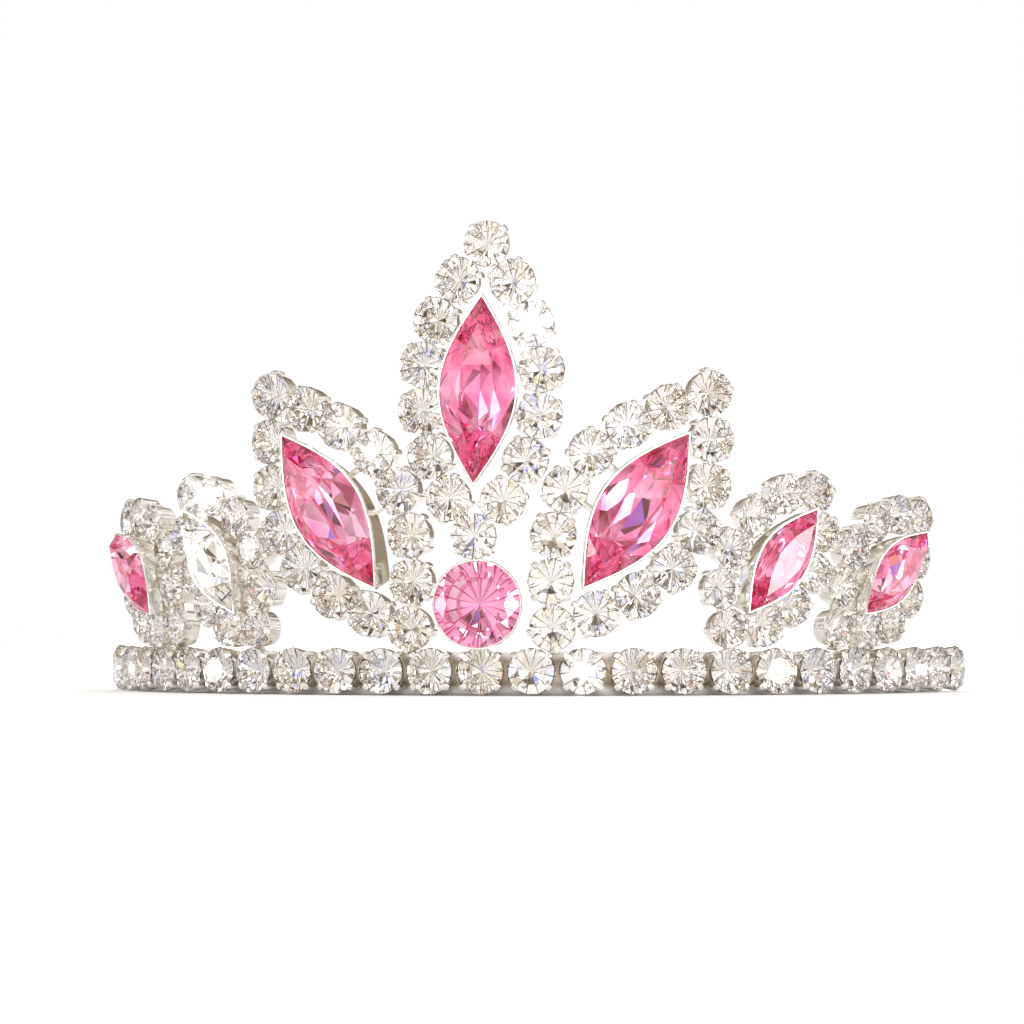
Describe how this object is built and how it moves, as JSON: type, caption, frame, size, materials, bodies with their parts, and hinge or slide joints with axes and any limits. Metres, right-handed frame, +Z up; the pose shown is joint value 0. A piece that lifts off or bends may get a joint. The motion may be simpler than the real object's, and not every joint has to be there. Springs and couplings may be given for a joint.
{
  "type": "rhinestone tiara",
  "caption": "Small rhinestone tiara: a curved silver band of clear set stones carries pointed motifs, each a ring of clear stones round a pink marquise, and a round pink stone at the front.",
  "frame": {"origin": "bottom centre of the box, on the surface that the band stands on", "axes": "+X to the wearer's left along the width, -Y to the front that the stones face, +Z up"},
  "size_m": [0.0828, 0.0378, 0.0425],
  "materials": {
    "silver": "bright silver plate",
    "clear_crystal": "cut and foiled clear glass",
    "pink_crystal": "cut and foiled pink glass"
  },
  "bodies": {
    "root": {"band": "silver", "halo_centre": "silver", "halo_inner_left": "silver", "halo_inner_right": "silver", "halo_middle_left": "silver", "halo_middle_right": "silver", "halo_outer_left": "silver", "halo_outer_right": "silver", "round_setting": "silver", "stone_centre": "pink_crystal", "stone_inner_left": "pink_crystal", "stone_inner_right": "pink_crystal", "stone_middle_left": "clear_crystal", "stone_middle_right": "pink_crystal", "stone_outer_left": "pink_crystal", "stone_outer_right": "pink_crystal", "round_stone": "pink_crystal"}
  },
  "joints": []
}
